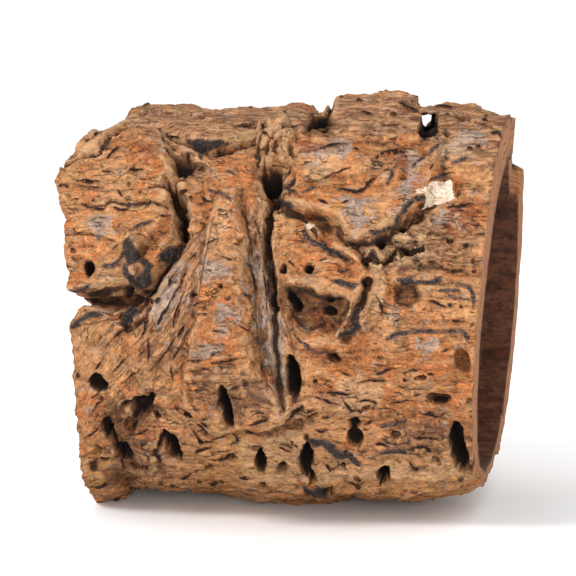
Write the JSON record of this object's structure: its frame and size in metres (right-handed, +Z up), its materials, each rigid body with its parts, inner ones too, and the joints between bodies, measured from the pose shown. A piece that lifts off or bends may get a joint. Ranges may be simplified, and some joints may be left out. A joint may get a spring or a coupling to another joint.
{
  "type": "cork branch",
  "caption": "Short hollow length of rough cork bark, open right through, sawn across at one end and broken off at the other, lying on its side.",
  "frame": {"origin": "on the worn flat patch that the bark tube rests on, under the middle of its length", "axes": "+X along the bore, towards the sawn end; +Z up, away from the surface it rests on; the near side, with the raised buttress, faces -Y"},
  "size_m": [0.179, 0.1886, 0.1758],
  "materials": {
    "cork_bark": "rough weathered cork bark, matte"
  },
  "bodies": {
    "root": {"cork_branch": "cork_bark"}
  },
  "joints": []
}
